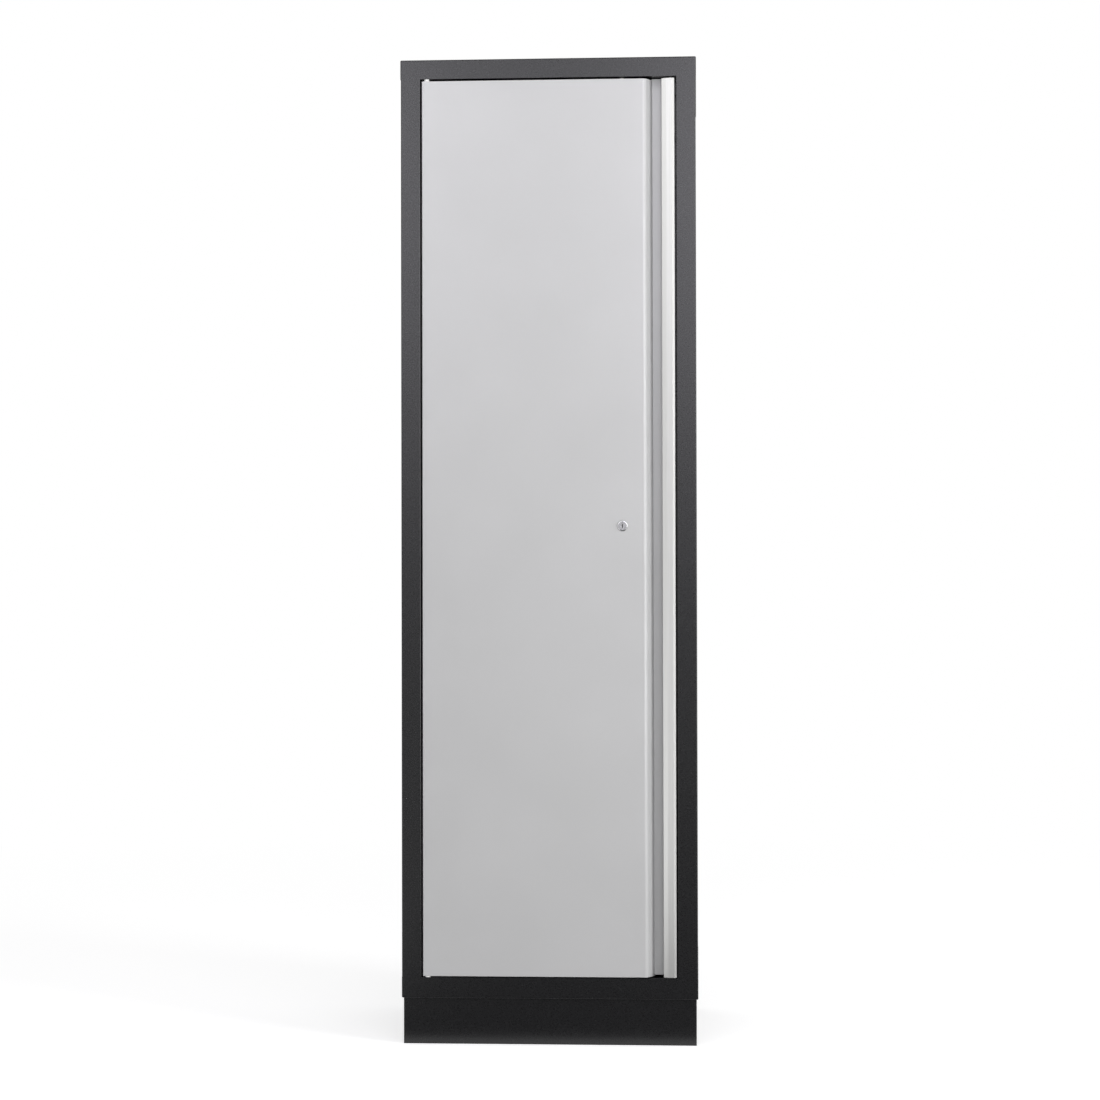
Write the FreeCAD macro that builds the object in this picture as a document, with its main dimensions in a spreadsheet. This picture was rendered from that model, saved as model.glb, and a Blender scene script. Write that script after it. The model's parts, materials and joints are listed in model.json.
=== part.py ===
# Tall single-door steel cabinet on a plinth: folded sheet carcass, shelves on slotted rails, a pivot-hung
# door with a full-height handle channel, and a key lock that drives an upper and a lower rod.
# Millimetres, +Z up, +X to the right seen from the front, the front faces -Y.
# The origin is on the floor, under the middle of the box that holds the whole cabinet.
import FreeCAD, Part
import os
import re
import Sketcher

SIZES = {
    # Whole cabinet: the depth is the carcass alone, without what the grip stands proud
    "cabinet_width": 600,
    "cabinet_height": 2000,
    "carcass_depth": 450,
    # Plinth of four folded channels
    "plinth_height": 93,
    "plinth_inset": 3,
    "plinth_front_inset": 6,
    "plinth_flange": 40,
    "plinth_sheet": 1.5,
    "plinth_bend": 2,
    # Floor holes in the lower flanges of the plinth
    "floor_hole_radius": 4.5,
    "floor_hole_inset": 60,
    # Bottom tray and top cap, two closed-edge pans
    "tray_height": 42,
    "tray_overhang": 0.5,
    "cap_height": 39.5,
    "cap_overhang": 1,
    "pan_sheet": 1.2,
    "pan_front_lip": 46,
    "pan_lip": 26,
    "pan_bend": 2.5,
    # Side panels with their stiles and the flange that the closed door meets
    "carcass_sheet": 1,
    "stile_width": 40,
    "stop_gap": 3,
    "stop_flange": 14,
    "rear_flange": 25,
    "panel_bend": 2,
    # Rear panel and its rivets
    "rear_sheet": 0.8,
    "panel_play": 0.5,
    "rivet_radius": 2,
    "rivet_head_radius": 4,
    "rivet_head": 1.2,
    "rivet_margin": 60,
    "fastener_play": 0.1,
    # Screws of the plinth and the tray
    "screw_radius": 3,
    "screw_head_radius": 6.5,
    "screw_head": 3,
    "screw_tail": 8,
    "screw_nut_flats": 10,
    "screw_nut_thickness": 5,
    "tray_screw_inset": 90,
    # Slotted shelf rails
    "rail_width": 30,
    "rail_depth": 10,
    "rail_sheet": 1.2,
    "rail_end_gap": 20,
    "rail_inset": 80,
    "slot_width": 14,
    "slot_height": 4,
    "slot_pitch": 50,
    "slot_margin": 30,
    # Shelves and their clips
    "shelf_height": 25,
    "shelf_sheet": 1,
    "shelf_lip": 14,
    "shelf_bend": 1.5,
    "shelf_play": 1.5,
    "shelf_front": 58,
    "shelf_rear_gap": 14,
    "clip_width": 12,
    "clip_sheet": 2,
    "clip_reach": 14,
    "clip_back": 18,
    "clip_hook": 5,
    "clip_play": 0.3,
    # Gaps round the door
    "side_gap": 3,
    "top_gap": 4.5,
    "bottom_gap": 2.5,
    # Door skin with its sloping wall, and the floor of the handle channel between that wall and the grip
    "door_thickness": 26,
    "door_sheet": 1,
    "door_lip": 14,
    "slope_run": 14,
    "channel_floor": 19,
    "channel_rise": 2.7,
    "channel_depth": 22,
    "door_bend": 2,
    "channel_bend": 10,
    # Door rails and stiffener
    "door_rail_height": 25,
    "door_rail_end": 6,
    "stiffener_foot": 14,
    "stiffener_crown": 34,
    "stiffener_slope": 6,
    "stiffener_depth": 18,
    # Aluminium grip, a J section that stands on the channel floor
    "grip_width": 26,
    "grip_proud": 7,
    "grip_wall": 2.2,
    "grip_foot": 24,
    "grip_ridge": 5,
    "grip_shoulder": 3,
    "grip_crease_place": 9.3,
    "grip_crease_proud": 3.8,
    "grip_bend": 0.9,
    "grip_end_gap": 0.5,
    # Pivots
    "pivot_place": 9.5,
    "pivot_depth": 6,
    "pin_radius": 3,
    "pin_reach": 8,
    "pin_seat": 22,
    "running_play": 0.05,
    "bush_radius": 4.5,
    "bush_length": 10,
    "bush_flange_radius": 5.5,
    "bush_play": 0.3,
    "block_length": 24,
    "block_depth": 13,
    # Lock
    "lock_inset": 48,
    "lock_height": 1049,
    "bezel_radius": 11,
    "bezel_proud": 2.5,
    "bezel_round": 2.2,
    "barrel_radius": 9,
    "barrel_length": 12,
    "barrel_play": 0.2,
    "plug_radius": 7,
    "plug_sunk": 0.4,
    "key_slot_width": 1.6,
    "key_slot_height": 7.5,
    "key_slot_depth": 6,
    "nut_flats": 24,
    "nut_thickness": 4,
    "cam_gap": 0.4,
    "cam_radius": 18,
    "cam_thickness": 2,
    "crank_radius": 14,
    "crank_pin_radius": 2.5,
    "crank_pin_length": 6,
    "cam_screw_radius": 2,
    "cam_screw_head_radius": 4,
    "cam_screw_head": 2.5,
    "cam_screw_length": 7,
    # Lock rods, tips and guides
    "rod_radius": 4,
    "rod_depth": 17,
    "rod_start": 20,
    "crank_slot_play": 0.7,
    "crank_plate_side": 5,
    "crank_plate_width": 15,
    "crank_plate_thickness": 2,
    "crank_plate_end": 4,
    "crank_plate_reach": 30,
    "slide_play": 0.4,
    "tip_radius": 5,
    "tip_length": 30,
    "tip_round": 1,
    "tip_socket": 18,
    "rod_hole_radius": 7,
    "guide_width": 24,
    "guide_height": 12,
    "guide_wall": 3,
    # Rubber buffers on the right stop flange
    "buffer_radius": 2.4,
    "buffer_play": 0.3,
    # How far every cutting shape runs past what it cuts, and how near an edge counts as being in place
    "overrun": 2,
    "edge_tolerance": 0.001,
}

# Counts
SHELVES = 4
SLOTS_BETWEEN_SHELVES = 7
REAR_RIVETS_PER_SIDE = 6
GRIP_RIVETS = 8

# Places as shares: of the door's height, of the way from the lock to the end of the door, and of the gap
# there, which a rod's tip partly fills
BUFFER_SHARES = (0.12, 0.5, 0.88)
GUIDE_SHARES = (0.29, 0.79)
TIP_SHARE = 0.87

# Places worked out from the sizes, as expressions in the sheet's names
FRONT = "((grip_proud - carcass_depth) / 2)"
BACK = "((grip_proud + carcass_depth) / 2)"
TRAY_TOP = "(plinth_height + tray_height)"
CAP_BOTTOM = "(cabinet_height - cap_height)"
WALL_HEIGHT = f"({CAP_BOTTOM} - {TRAY_TOP})"
DOOR_LEFT = "(stile_width + side_gap - cabinet_width / 2)"
DOOR_WIDTH = "(cabinet_width - 2 * stile_width - 2 * side_gap)"
FACE_WIDTH = f"({DOOR_WIDTH} - grip_width - channel_floor - slope_run)"
DOOR_BOTTOM = f"({TRAY_TOP} + bottom_gap)"
DOOR_TOP = f"({CAP_BOTTOM} - top_gap)"
DOOR_HEIGHT = f"({DOOR_TOP} - {DOOR_BOTTOM})"
PIVOT_X = f"({DOOR_LEFT} + pivot_place)"
PIVOT_Y = f"({FRONT} + pivot_depth)"
LOCK_X = f"({DOOR_LEFT} + {FACE_WIDTH} - lock_inset)"
ROD_Y = f"({FRONT} + rod_depth)"
CRANK_ARM = "(crank_radius * sqrt(2) / 2)"
RAIL_BASE = f"({TRAY_TOP} + rail_end_gap)"
RAIL_HEIGHT = f"({WALL_HEIGHT} - 2 * rail_end_gap)"

doc = FreeCAD.newDocument("tall_cabinet")
sheet = doc.addObject("Spreadsheet::Sheet", "Sizes")
for row, (alias, number) in enumerate(SIZES.items(), start=1):
    sheet.set(f"A{row}", alias)
    sheet.set(f"B{row}", str(number))
    sheet.setAlias(f"B{row}", alias)
doc.recompute()

PARTS = []


# Helpers for sizes, plain shapes and their combinations

def bound(text):
    """The expression with each of the sheet's names written so that the document finds it."""
    return re.sub(r"[a-z]\w*", lambda word: f"Sizes.{word[0]}" if word[0] in SIZES else word[0], text)


def value(text):
    """The present number that an expression in the sheet's names comes to."""
    return float(sheet.evalExpression(bound(text)))


def bind(shape, names, texts):
    """Ties each named property of a shape to an expression."""
    for name, text in zip(names, texts):
        shape.setExpression(name, bound(text))


def place(shape, corner):
    """Puts a shape's own origin at a corner given by three expressions."""
    bind(shape, ("Placement.Base.x", "Placement.Base.y", "Placement.Base.z"), corner)


def finished(shape):
    """Counts a shape among the sub-parts that are written out."""
    PARTS.append(shape)
    return shape


def block(label, corner, extent):
    """A box from its lowest corner and its three lengths."""
    box = doc.addObject("Part::Box", label)
    bind(box, ("Length", "Width", "Height"), extent)
    place(box, corner)
    return box


def centred_block(label, centre, extent):
    """A box about its middle."""
    corner = [f"{middle} - ({length}) / 2" for middle, length in zip(centre, extent)]
    return block(label, corner, extent)


def round_bar(label, base, radius, length, along="z"):
    """A cylinder from the middle of its first end, upright or pointing to the back."""
    bar = doc.addObject("Part::Cylinder", label)
    if along == "y":
        bar.Placement = FreeCAD.Placement(FreeCAD.Vector(), FreeCAD.Rotation(FreeCAD.Vector(1, 0, 0), -90))
    bind(bar, ("Radius", "Height"), (radius, length))
    place(bar, base)
    return bar


def together(label, shapes):
    """One solid from shapes that run into each other."""
    fusion = doc.addObject("Part::MultiFuse", label)
    fusion.Shapes = shapes
    return fusion


def cut(label, base, tools):
    """A shape with the tools taken away."""
    result = doc.addObject("Part::Cut", label)
    result.Base = base
    result.Tool = tools[0] if len(tools) == 1 else together(label + "_cuts", tools)
    return result


def group(label, shapes):
    """Like pieces kept in one node as separate solids."""
    compound = doc.addObject("Part::Compound", label)
    compound.Links = shapes
    return compound


def lies_at(edge, places):
    """True where the whole edge lies at the given place along each named axis."""
    box = edge.BoundBox
    spans = {"x": (box.XMin, box.XMax), "y": (box.YMin, box.YMax), "z": (box.ZMin, box.ZMax)}
    reach = value("edge_tolerance")
    return all(abs(end - value(text)) < reach for axis, text in places.items() for end in spans[axis])


def edge_numbers(shape, places):
    """The numbers of the edges that lie at any of the given places."""
    edges = enumerate(shape.Edges, start=1)
    return [number for number, edge in edges if any(lies_at(edge, spot) for spot in places)]


def softened(label, base, radius, places):
    """A shape whose edges at the given places are rounded."""
    doc.recompute()
    fillet = doc.addObject("Part::Fillet", label)
    fillet.Base = base
    size = value(radius)
    fillet.Edges = [(number, size, size) for number in edge_numbers(base.Shape, places)]
    return fillet


def mirrored(label, source):
    """The right-hand twin of a left-hand piece."""
    twin = doc.addObject("Part::Mirroring", label)
    twin.Source = source
    twin.Base = (0, 0, 0)
    twin.Normal = (1, 0, 0)
    return twin


def drawn(body, label, role, outline):
    """A closed sketch of straight runs on one of a body's own planes, each corner held by two expressions."""
    sketch = body.newObject("Sketcher::SketchObject", label)
    plane = [feature for feature in body.Origin.OriginFeatures if feature.Role == role][0]
    sketch.AttachmentSupport = (plane, [""])
    sketch.MapMode = "FlatFace"
    corners = [FreeCAD.Vector(value(across), value(along), 0) for across, along in outline]
    for start, end in zip(corners, corners[1:] + corners[:1]):
        sketch.addGeometry(Part.LineSegment(start, end))
    for index, spot in enumerate(outline):
        sketch.addConstraint(Sketcher.Constraint("Coincident", index, 2, (index + 1) % len(outline), 1))
        for kind, text in zip(("DistanceX", "DistanceY"), spot):
            number = sketch.addConstraint(Sketcher.Constraint(kind, -1, 1, index, 1, value(text)))
            sketch.setExpression(f"Constraints[{number}]", bound(text))
    return sketch


def folded(label, outline, length, corner):
    """A straight piece of one section: a closed outline in plan, carried up by its length."""
    body = doc.addObject("PartDesign::Body", label)
    place(body, corner)
    section = drawn(body, label + "_section", "XY_Plane", outline)
    pad = body.newObject("PartDesign::Pad", label + "_run")
    pad.Profile = section
    bind(pad, ("Length",), (length,))
    return body


def bend(body, label, radius, corners):
    """Rounds the upright edges of a folded piece at the given corners of its outline."""
    doc.recompute()
    straight = body.Tip
    places = [{"x": across, "y": along} for across, along in corners]
    names = [f"Edge{number}" for number in edge_numbers(straight.Shape, places)]
    fillet = body.newObject("PartDesign::Fillet", label)
    fillet.Base = (straight, names)
    bind(fillet, ("Radius",), (radius,))
    body.Tip = fillet


def pan(label, corner, extent, sheet_name, lips, radius, rounded, holes):
    """A shallow pan: plate on top, skirt all round, lips turned in at the front, the sides and the rear."""
    front_lip, side_lip, rear_lip = lips
    left, front, bottom = corner
    width, depth, height = extent
    solid = block(label + "_block", corner, extent)
    shell = softened(label + "_shell", solid, radius, rounded)
    hollow = block(
        label + "_hollow",
        (f"{left} + {sheet_name}", f"{front} + {sheet_name}", f"{bottom} + {sheet_name}"),
        (f"{width} - 2 * {sheet_name}", f"{depth} - 2 * {sheet_name}", f"{height} - 2 * {sheet_name}"),
    )
    window = block(
        label + "_window",
        (f"{left} + {side_lip}", f"{front} + {front_lip}", f"{bottom} - overrun"),
        (f"{width} - 2 * {side_lip}", f"{depth} - {front_lip} - {rear_lip}", f"{sheet_name} + 2 * overrun"),
    )
    return finished(cut(label, shell, [hollow, window] + holes))


def hex_ring(label, base, flats, bore, thickness, along):
    """A hexagon nut from the middle of its first face, with a round bore."""
    prism = doc.addObject("Part::Prism", label + "_prism")
    prism.Polygon = 6
    if along == "y":
        prism.Placement = FreeCAD.Placement(FreeCAD.Vector(), FreeCAD.Rotation(FreeCAD.Vector(1, 0, 0), -90))
    bind(prism, ("Circumradius", "Height"), (f"{flats} / sqrt(3)", thickness))
    place(prism, base)
    across, back, up = base
    start = (across, f"{back} - overrun", up) if along == "y" else (across, back, f"{up} - overrun")
    return cut(label, prism, [round_bar(label + "_bore", start, bore, f"{thickness} + 2 * overrun", along)])


# Plinth: closed-end channels across the front and rear, open channels between them

FLOOR_HOLE_X = "(cabinet_width / 2 - floor_hole_inset)"
TRAY_SCREW_X = "(cabinet_width / 2 - tray_screw_inset)"


def plinth_holes(label, right, y, bottom, thickness, radius):
    """Upright holes through one flange of the plinth or the tray, one at each side."""
    return [
        round_bar(f"{label}_{index}", (x, y, f"{bottom} - overrun"), radius, f"{thickness} + 2 * overrun")
        for index, x in enumerate((f"-{right}", right))
    ]


def plinth_cross_channel(label, y_outer, y_open, web_at_front):
    """The front or rear channel: web outside, two flanges inwards, closed ends, holes in both flanges."""
    width = "(cabinet_width - 2 * plinth_inset)"
    left = f"(-{width} / 2)"
    solid = block(label + "_block", (left, y_outer, "0"), (width, "plinth_flange", "plinth_height"))
    web_y = y_outer if web_at_front else f"{y_outer} + plinth_flange"
    corners = [{"x": left, "y": web_y}, {"x": f"-{left}", "y": web_y}]
    shell = softened(label + "_shell", solid, "plinth_bend", corners)
    hollow = block(
        label + "_hollow",
        (f"{left} + plinth_sheet", y_open, "plinth_sheet"),
        (f"{width} - 2 * plinth_sheet", "plinth_flange - plinth_sheet + overrun",
         "plinth_height - 2 * plinth_sheet"),
    )
    middle = f"{y_outer} + plinth_flange / 2"
    floor = plinth_holes(label + "_floor_hole", FLOOR_HOLE_X, middle, "0", "plinth_sheet",
                         "floor_hole_radius")
    upper = plinth_holes(label + "_screw_hole", TRAY_SCREW_X, middle, "plinth_height - plinth_sheet",
                         "plinth_sheet", "screw_radius + fastener_play")
    return finished(cut(label, shell, [hollow] + floor + upper))


def plinth_side_channel(label):
    """The left channel: its web outside, its two flanges inwards, butted between the cross channels."""
    left = "(plinth_inset - cabinet_width / 2)"
    front = f"({FRONT_CHANNEL_Y} + plinth_flange)"
    run = f"({REAR_CHANNEL_Y} - {front})"
    solid = block(label + "_block", (left, front, "0"), ("plinth_flange", run, "plinth_height"))
    hollow = block(
        label + "_hollow",
        (f"{left} + plinth_sheet", f"{front} - overrun", "plinth_sheet"),
        ("plinth_flange", f"{run} + 2 * overrun", "plinth_height - 2 * plinth_sheet"),
    )
    return finished(cut(label, solid, [hollow]))


FRONT_CHANNEL_Y = f"({FRONT} + plinth_front_inset)"
REAR_CHANNEL_Y = f"({BACK} - plinth_inset - plinth_flange)"
plinth_cross_channel("plinth_front", FRONT_CHANNEL_Y, f"{FRONT_CHANNEL_Y} + plinth_sheet", True)
plinth_cross_channel("plinth_rear", REAR_CHANNEL_Y, f"{REAR_CHANNEL_Y} - overrun", False)
plinth_left = plinth_side_channel("plinth_left")
finished(mirrored("plinth_right", plinth_left))


# Bottom tray and top cap, with the holes for the pivot bushes and the ends of the lock rods

def pivot_and_rod_holes(label, bottom):
    """Holes through a pan's plate or lip: one for a pivot bush, one for a lock rod."""
    run = "pan_sheet + 2 * overrun"
    start = f"{bottom} - overrun"
    bush = round_bar(label + "_bush_hole", (PIVOT_X, PIVOT_Y, start), "bush_radius + fastener_play", run)
    rod = round_bar(label + "_rod_hole", (LOCK_X, ROD_Y, start), "rod_hole_radius", run)
    return [bush, rod]


def carcass_pan(label, bottom, height, overhang, outer_level, holes):
    """A pan as wide as the cabinet and its overhangs, sharp-edged where the stiles meet it."""
    width = f"(cabinet_width + 2 * {overhang})"
    left = f"(-{width} / 2)"
    lips = ("pan_front_lip", "pan_lip", "pan_lip")
    rounded = [{"x": x, "y": y} for x in (left, f"-{left}") for y in (FRONT, BACK)] + [{"z": outer_level}]
    return pan(label, (left, FRONT, bottom), (width, "carcass_depth", height), "pan_sheet", lips, "pan_bend",
               rounded, holes)


tray_holes = pivot_and_rod_holes("bottom_tray", f"{TRAY_TOP} - pan_sheet")
for side, channel_y in (("front", FRONT_CHANNEL_Y), ("rear", REAR_CHANNEL_Y)):
    tray_holes += plinth_holes(f"bottom_tray_{side}_hole", TRAY_SCREW_X, f"{channel_y} + plinth_flange / 2",
                               "plinth_height", "pan_sheet", "screw_radius + fastener_play")
carcass_pan("bottom_tray", "plinth_height", "tray_height", "tray_overhang", "plinth_height", tray_holes)
carcass_pan("top_cap", CAP_BOTTOM, "cap_height", "cap_overhang", "cabinet_height",
            pivot_and_rod_holes("top_cap", CAP_BOTTOM))


# Screws and nuts that hold the tray to the plinth

def tray_fasteners():
    """A screw from below and a nut on the tray's lip at each corner."""
    screws = []
    nuts = []
    for side, channel_y in (("front", FRONT_CHANNEL_Y), ("rear", REAR_CHANNEL_Y)):
        y = f"{channel_y} + plinth_flange / 2"
        for hand, x in (("left", f"-{TRAY_SCREW_X}"), ("right", TRAY_SCREW_X)):
            name = f"tray_screw_{side}_{hand}"
            start = (x, y, "plinth_height - plinth_sheet - screw_head")
            head = round_bar(name + "_head", start, "screw_head_radius", "screw_head")
            shank = round_bar(name + "_shank", start, "screw_radius",
                              "screw_head + plinth_sheet + pan_sheet + screw_tail")
            screws.append(together(name, [head, shank]))
            nuts.append(hex_ring(f"tray_nut_{side}_{hand}", (x, y, "plinth_height + pan_sheet"),
                                 "screw_nut_flats", "screw_radius + fastener_play",
                                 "screw_nut_thickness", "z"))
    finished(group("tray_screws", screws))
    finished(group("tray_nuts", nuts))


tray_fasteners()


# Side panels, rear panel and the rivets between them

RIVET_X = "(cabinet_width / 2 - rear_flange / 2)"
RIVET_STEP = f"(({WALL_HEIGHT} - 2 * rivet_margin) / {REAR_RIVETS_PER_SIDE - 1})"


def rear_rivet_spots(sides):
    """The x and z of each rivet on the chosen sides of the rear panel, left as -1 and right as 1."""
    rows = range(REAR_RIVETS_PER_SIDE)
    return [(f"{side} * {RIVET_X}", f"{TRAY_TOP} + rivet_margin + {row} * {RIVET_STEP}")
            for side in sides for row in rows]


def rear_rivet_holes(label, sides):
    """Holes through the rear flange and the rear panel at each rivet."""
    start = f"{BACK} - carcass_sheet - rear_sheet - overrun"
    run = "carcass_sheet + rear_sheet + 2 * overrun"
    return [round_bar(f"{label}_rivet_hole_{index}", (x, start, z), "rivet_radius + fastener_play", run, "y")
            for index, (x, z) in enumerate(rear_rivet_spots(sides))]


def side_panel():
    """One folded sheet: stile, return with the stop flange, outer wall and rear flange."""
    lip = "(door_thickness + stop_gap)"
    thick = "carcass_sheet"
    outline = [
        ("0", "0"),
        ("stile_width", "0"),
        ("stile_width", lip),
        ("stile_width + stop_flange", lip),
        ("stile_width + stop_flange", f"{lip} + {thick}"),
        (f"stile_width - {thick}", f"{lip} + {thick}"),
        (f"stile_width - {thick}", thick),
        (thick, thick),
        (thick, f"carcass_depth - {thick}"),
        ("rear_flange", f"carcass_depth - {thick}"),
        ("rear_flange", "carcass_depth"),
        ("0", "carcass_depth"),
    ]
    panel = folded("side_panel_left_sheet", outline, WALL_HEIGHT, ("-cabinet_width / 2", FRONT, TRAY_TOP))
    bend(panel, "side_panel_left_bends", "panel_bend", [outline[0], outline[1], outline[-1]])
    return finished(cut("side_panel_left", panel, rear_rivet_holes("side_panel_left", (-1,))))


finished(mirrored("side_panel_right", side_panel()))


def rear_panel():
    """A flat sheet laid against the rear flanges from inside."""
    width = "(cabinet_width - 2 * carcass_sheet - 2 * panel_play)"
    corner = (f"-{width} / 2", f"{BACK} - carcass_sheet - rear_sheet", TRAY_TOP)
    plate = block("rear_panel_sheet", corner, (width, "rear_sheet", WALL_HEIGHT))
    finished(cut("rear_panel", plate, rear_rivet_holes("rear_panel", (-1, 1))))
    rivets = []
    for index, (x, z) in enumerate(rear_rivet_spots((-1, 1))):
        head_y = f"{BACK} - carcass_sheet - rear_sheet - rivet_head"
        head = round_bar(f"rear_rivet_{index}_head", (x, head_y, z), "rivet_head_radius", "rivet_head", "y")
        shank = round_bar(f"rear_rivet_{index}_shank", (x, head_y, z), "rivet_radius",
                          "rivet_head + rear_sheet + carcass_sheet", "y")
        rivets.append(together(f"rear_rivet_{index}", [head, shank]))
    finished(group("rear_rivets", rivets))


rear_panel()


# Slotted rails on the side panels, shelves, and the clips that the shelves rest on

RAIL_X = "(carcass_sheet - cabinet_width / 2)"
RAIL_PLACES = {
    "front": f"({FRONT} + rail_inset)",
    "rear": f"({BACK} - rail_inset - rail_width)",
}


def shelf_rail(label, rail_y):
    """An upright channel with its web inwards and a row of slots for the clips."""
    outline = [
        ("0", "0"),
        ("rail_depth", "0"),
        ("rail_depth", "rail_width"),
        ("0", "rail_width"),
        ("0", "rail_width - rail_sheet"),
        ("rail_depth - rail_sheet", "rail_width - rail_sheet"),
        ("rail_depth - rail_sheet", "rail_sheet"),
        ("0", "rail_sheet"),
    ]
    rail = folded(label, outline, RAIL_HEIGHT, (RAIL_X, rail_y, RAIL_BASE))
    near, far = "(rail_width - slot_width) / 2", "(rail_width + slot_width) / 2"
    low, high = "slot_margin - slot_height / 2", "slot_margin + slot_height / 2"
    window = drawn(rail, label + "_slot", "YZ_Plane", [(near, low), (far, low), (far, high), (near, high)])
    doc.recompute()
    plain_volume = rail.Shape.Volume
    pocket = rail.newObject("PartDesign::Pocket", label + "_slot_cut")
    pocket.Profile = window
    pocket.Type = "Length"
    pocket.Reversed = True
    bind(pocket, ("Length",), ("rail_depth + overrun",))
    doc.recompute()
    if rail.Shape.Volume >= plain_volume:
        raise RuntimeError(label + ": the slot misses the rail")
    row = rail.newObject("PartDesign::LinearPattern", label + "_slots")
    row.Originals = [pocket]
    row.Direction = (window, ["V_Axis"])
    gaps = f"floor(({RAIL_HEIGHT} - 2 * slot_margin) / slot_pitch)"
    bind(row, ("Length", "Occurrences"), (f"{gaps} * slot_pitch", f"{gaps} + 1"))
    rail.Tip = row
    return finished(rail)


for end, rail_y in RAIL_PLACES.items():
    left_rail = shelf_rail(f"shelf_rail_{end}_left", rail_y)
    finished(mirrored(f"shelf_rail_{end}_right", left_rail))


def shelf_clip(label, rail_y, slot_floor):
    """A folded clip: hook behind the rail's web, tab through the slot, back plate against the web."""
    web = f"({RAIL_X} + rail_depth)"
    near = f"{rail_y} + (rail_width - clip_width) / 2"
    behind = "(rail_sheet + clip_play + clip_sheet)"
    tab = block(label + "_tab", (f"{web} - {behind}", near, slot_floor),
                (f"{behind} + clip_reach", "clip_width", "clip_sheet"))
    hook = block(label + "_hook", (f"{web} - {behind}", near, slot_floor),
                 ("clip_sheet", "clip_width", "clip_sheet + clip_hook"))
    back = block(label + "_back", (web, near, f"{slot_floor} - clip_back"),
                 ("clip_sheet", "clip_width", "clip_back + clip_sheet"))
    return together(label, [tab, hook, back])


def shelf(number):
    """A shelf pan and its four clips, at its slot in the rails."""
    slot = f"({number} * {SLOTS_BETWEEN_SHELVES} * slot_pitch)"
    slot_floor = f"({RAIL_BASE} + slot_margin + {slot} - slot_height / 2)"
    width = "(cabinet_width - 2 * carcass_sheet - 2 * rail_depth - 2 * shelf_play)"
    corner = (f"(-{width} / 2)", f"({FRONT} + shelf_front)", f"({slot_floor} + clip_sheet)")
    extent = (width, "(carcass_depth - shelf_front - shelf_rear_gap)", "shelf_height")
    lips = ("shelf_lip", "shelf_sheet", "shelf_lip")
    pan(f"shelf_{number}", corner, extent, "shelf_sheet", lips, "shelf_bend", [{}], [])
    clips = []
    for end, rail_y in RAIL_PLACES.items():
        clip = shelf_clip(f"shelf_{number}_clip_{end}_left", rail_y, slot_floor)
        clips += [clip, mirrored(f"shelf_{number}_clip_{end}_right", clip)]
    finished(group(f"shelf_clips_{number}", clips))


for number in range(1, SHELVES + 1):
    shelf(number)


# Door: folded skin, strip that makes the channel floor, end rails, stiffener

SLOPE_FOOT = "(door_sheet * sqrt(slope_run^2 + channel_depth^2) / channel_depth)"


def door_skin():
    """One folded sheet: rear lip, left return, flat face, sloping wall that ends on the channel floor."""
    thick = "door_sheet"
    deep = "channel_depth"
    outline = [
        ("door_lip", "door_thickness"),
        ("0", "door_thickness"),
        ("0", "0"),
        (FACE_WIDTH, "0"),
        (f"{FACE_WIDTH} + slope_run", deep),
        (f"{FACE_WIDTH} + slope_run - {SLOPE_FOOT}", deep),
        (f"{FACE_WIDTH} + {thick} * slope_run / {deep} - {SLOPE_FOOT}", thick),
        (thick, thick),
        (thick, f"door_thickness - {thick}"),
        ("door_lip", f"door_thickness - {thick}"),
    ]
    skin = folded("door_skin_sheet", outline, DOOR_HEIGHT, (DOOR_LEFT, FRONT, DOOR_BOTTOM))
    bend(skin, "door_skin_edge", "door_bend", [outline[1], outline[2]])
    bend(skin, "door_skin_channel_edge", "channel_bend", [outline[3]])
    bend(skin, "door_skin_channel_inside", f"channel_bend - {thick}", [outline[6]])
    hole = round_bar("door_skin_lock_hole", (LOCK_X, f"{FRONT} - overrun", "lock_height"),
                     "barrel_radius + barrel_play", f"{thick} + 2 * overrun", "y")
    return finished(cut("door_skin", skin, [hole]))


door_skin()

GRIP_RIVET_X = f"({DOOR_LEFT} + {DOOR_WIDTH} - grip_foot / 2)"
GRIP_RIVET_STEP = f"({DOOR_HEIGHT} / {GRIP_RIVETS})"


def grip_rivet_heights():
    """The height of each rivet along the grip, half a step in from both ends."""
    return [f"({DOOR_BOTTOM} + {row + 0.5} * {GRIP_RIVET_STEP})" for row in range(GRIP_RIVETS)]


def grip_rivet_holes(label, front, thickness):
    """Holes for the grip's rivets through a sheet or a foot that starts at the given depth."""
    return [round_bar(f"{label}_grip_hole_{row}", (GRIP_RIVET_X, f"{front} - overrun", z),
                      "rivet_radius + fastener_play", f"{thickness} + 2 * overrun", "y")
            for row, z in enumerate(grip_rivet_heights())]


def door_channel():
    """A folded strip, set a little high: the channel floor under the sloping wall, and the right return."""
    thick = "door_sheet"
    start = f"({FACE_WIDTH} + slope_run - {SLOPE_FOOT})"
    width = f"({DOOR_WIDTH} - {start})"
    depth = "(door_thickness - channel_depth)"
    outline = [
        ("0", "0"),
        (width, "0"),
        (width, depth),
        (f"{width} - {thick}", depth),
        (f"{width} - {thick}", thick),
        ("0", thick),
    ]
    front = f"({FRONT} + channel_depth)"
    corner = (f"{DOOR_LEFT} + {start}", front, f"{DOOR_BOTTOM} + channel_rise")
    strip = folded("door_channel_sheet", outline, DOOR_HEIGHT, corner)
    return finished(cut("door_channel", strip, grip_rivet_holes("door_channel", front, thick)))


door_channel()


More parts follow.
